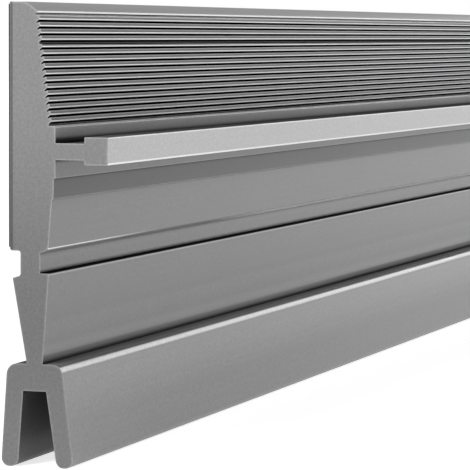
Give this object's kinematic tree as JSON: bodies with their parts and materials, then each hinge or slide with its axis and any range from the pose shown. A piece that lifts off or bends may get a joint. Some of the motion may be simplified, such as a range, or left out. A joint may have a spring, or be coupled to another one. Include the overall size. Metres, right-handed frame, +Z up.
{
  "type": "under door draught excluder",
  "caption": "One-piece extruded rubber sealing strip with a taped flat back, ribbed front, T-shaped fin, hinged wedge and splayed two-legged foot.",
  "frame": {"origin": "middle of the bounding box on the floor that the two legs stand on", "axes": "+X along the strip, +Y out of the flat taped back that goes on the door, +Z up; the ribs and the fin face -Y"},
  "size_m": [1, 0.011, 0.045],
  "materials": {
    "grey_rubber": "satin mid grey silicone rubber",
    "tape": "matt dark adhesive tape"
  },
  "bodies": {
    "root": {"seal_strip": "grey_rubber", "adhesive_tape": "tape"}
  },
  "joints": []
}
